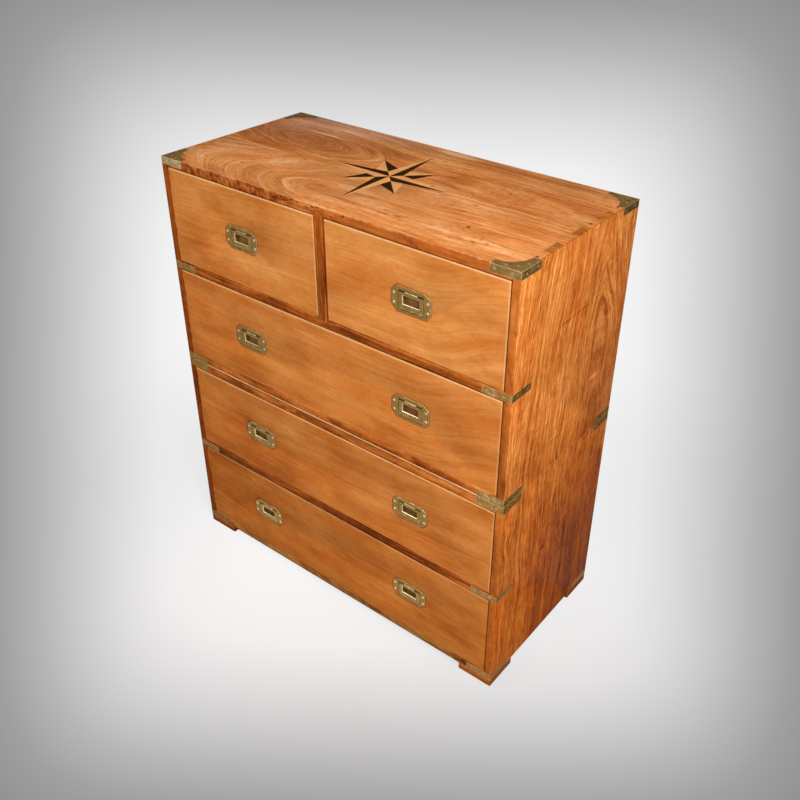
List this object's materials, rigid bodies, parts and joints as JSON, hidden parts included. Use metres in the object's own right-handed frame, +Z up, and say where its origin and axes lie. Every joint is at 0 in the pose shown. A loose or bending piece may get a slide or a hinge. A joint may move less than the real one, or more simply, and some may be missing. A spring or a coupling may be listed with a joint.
{
  "type": "campaign chest",
  "caption": "Chest of drawers in stacked cases, short drawers over long ones, with flush bail pulls, brass caps and straps at the corners, block feet and a compass star inlaid in the top.",
  "frame": {"origin": "on the floor under the middle of the chest's footprint, at the undersides of the feet", "axes": "+X to the right as seen from the front, +Y from front to back, +Z up; the drawers open towards -Y"},
  "size_m": [0.96, 0.45, 1.07],
  "materials": {
    "case_wood": "waxed camphor wood, rippled grain",
    "drawer_front_wood": "waxed camphor wood, plain grain",
    "inner_wood": "bare planed wood",
    "ebony": "waxed ebony",
    "boxwood": "waxed boxwood",
    "brass": "aged brass, worn bright at the edges"
  },
  "bodies": {
    "lower_case": {"lower_left_side": "case_wood", "lower_right_side": "case_wood", "lower_top_board": "case_wood", "base_board": "case_wood", "lower_back_boards": "inner_wood", "lower_drawer_rail": "case_wood", "lower_drawer_runners": "inner_wood", "feet": "case_wood", "locating_pegs": "inner_wood", "lower_straps": "brass", "lower_brass_screws": "brass"},
    "upper_case": {"upper_left_side": "case_wood", "upper_right_side": "case_wood", "top_board": "case_wood", "upper_bottom_board": "case_wood", "upper_back_boards": "inner_wood", "upper_drawer_rail": "case_wood", "centre_divider": "case_wood", "upper_drawer_runners": "inner_wood", "drawer_guide": "inner_wood", "star_ebony": "ebony", "star_boxwood": "boxwood", "top_corner_caps": "brass", "upper_straps": "brass", "upper_brass_screws": "brass"},
    "top_left_drawer": {"top_left_drawer_front": "drawer_front_wood", "top_left_drawer_box": "inner_wood", "top_left_drawer_bottom": "inner_wood", "top_left_drawer_handle_plates": "brass", "top_left_drawer_handle_screws": "brass"},
    "top_left_bail": {"top_left_bail": "brass"},
    "top_right_drawer": {"top_right_drawer_front": "drawer_front_wood", "top_right_drawer_box": "inner_wood", "top_right_drawer_bottom": "inner_wood", "top_right_drawer_handle_plates": "brass", "top_right_drawer_handle_screws": "brass"},
    "top_right_bail": {"top_right_bail": "brass"},
    "second_drawer": {"second_drawer_front": "drawer_front_wood", "second_drawer_box": "inner_wood", "second_drawer_bottom": "inner_wood", "second_drawer_handle_plates": "brass", "second_drawer_handle_screws": "brass"},
    "second_drawer_left_bail": {"second_drawer_left_bail": "brass"},
    "second_drawer_right_bail": {"second_drawer_right_bail": "brass"},
    "third_drawer": {"third_drawer_front": "drawer_front_wood", "third_drawer_box": "inner_wood", "third_drawer_bottom": "inner_wood", "third_drawer_handle_plates": "brass", "third_drawer_handle_screws": "brass"},
    "third_drawer_left_bail": {"third_drawer_left_bail": "brass"},
    "third_drawer_right_bail": {"third_drawer_right_bail": "brass"},
    "bottom_drawer": {"bottom_drawer_front": "drawer_front_wood", "bottom_drawer_box": "inner_wood", "bottom_drawer_bottom": "inner_wood", "bottom_drawer_handle_plates": "brass", "bottom_drawer_handle_screws": "brass"},
    "bottom_drawer_left_bail": {"bottom_drawer_left_bail": "brass"},
    "bottom_drawer_right_bail": {"bottom_drawer_right_bail": "brass"}
  },
  "joints": [
    {"name": "upper_case_lift", "type": "slide", "parent": "lower_case", "child": "upper_case", "axis": [0, 0, 1], "range_m": [0, 0.06]},
    {"name": "top_left_drawer_slide", "type": "slide", "parent": "upper_case", "child": "top_left_drawer", "axis": [0, -1, 0], "range_m": [0, 0.34]},
    {"name": "top_left_bail_swing", "type": "hinge", "parent": "top_left_drawer", "child": "top_left_bail", "pos_m": [-0.23725, -0.2235, 0.949], "axis": [-1, 0, 0], "range_deg": [0, 90]},
    {"name": "top_right_drawer_slide", "type": "slide", "parent": "upper_case", "child": "top_right_drawer", "axis": [0, -1, 0], "range_m": [0, 0.34]},
    {"name": "top_right_bail_swing", "type": "hinge", "parent": "top_right_drawer", "child": "top_right_bail", "pos_m": [0.23725, -0.2235, 0.949], "axis": [-1, 0, 0], "range_deg": [0, 90]},
    {"name": "second_drawer_slide", "type": "slide", "parent": "upper_case", "child": "second_drawer", "axis": [0, -1, 0], "range_m": [0, 0.34]},
    {"name": "second_drawer_left_bail_swing", "type": "hinge", "parent": "second_drawer", "child": "second_drawer_left_bail", "pos_m": [-0.23725, -0.2235, 0.696], "axis": [-1, 0, 0], "range_deg": [0, 90]},
    {"name": "second_drawer_right_bail_swing", "type": "hinge", "parent": "second_drawer", "child": "second_drawer_right_bail", "pos_m": [0.23725, -0.2235, 0.696], "axis": [-1, 0, 0], "range_deg": [0, 90]},
    {"name": "third_drawer_slide", "type": "slide", "parent": "lower_case", "child": "third_drawer", "axis": [0, -1, 0], "range_m": [0, 0.34]},
    {"name": "third_drawer_left_bail_swing", "type": "hinge", "parent": "third_drawer", "child": "third_drawer_left_bail", "pos_m": [-0.23725, -0.2235, 0.4215], "axis": [-1, 0, 0], "range_deg": [0, 90]},
    {"name": "third_drawer_right_bail_swing", "type": "hinge", "parent": "third_drawer", "child": "third_drawer_right_bail", "pos_m": [0.23725, -0.2235, 0.4215], "axis": [-1, 0, 0], "range_deg": [0, 90]},
    {"name": "bottom_drawer_slide", "type": "slide", "parent": "lower_case", "child": "bottom_drawer", "axis": [0, -1, 0], "range_m": [0, 0.34]},
    {"name": "bottom_drawer_left_bail_swing", "type": "hinge", "parent": "bottom_drawer", "child": "bottom_drawer_left_bail", "pos_m": [-0.23725, -0.2235, 0.17], "axis": [-1, 0, 0], "range_deg": [0, 90]},
    {"name": "bottom_drawer_right_bail_swing", "type": "hinge", "parent": "bottom_drawer", "child": "bottom_drawer_right_bail", "pos_m": [0.23725, -0.2235, 0.17], "axis": [-1, 0, 0], "range_deg": [0, 90]}
  ]
}
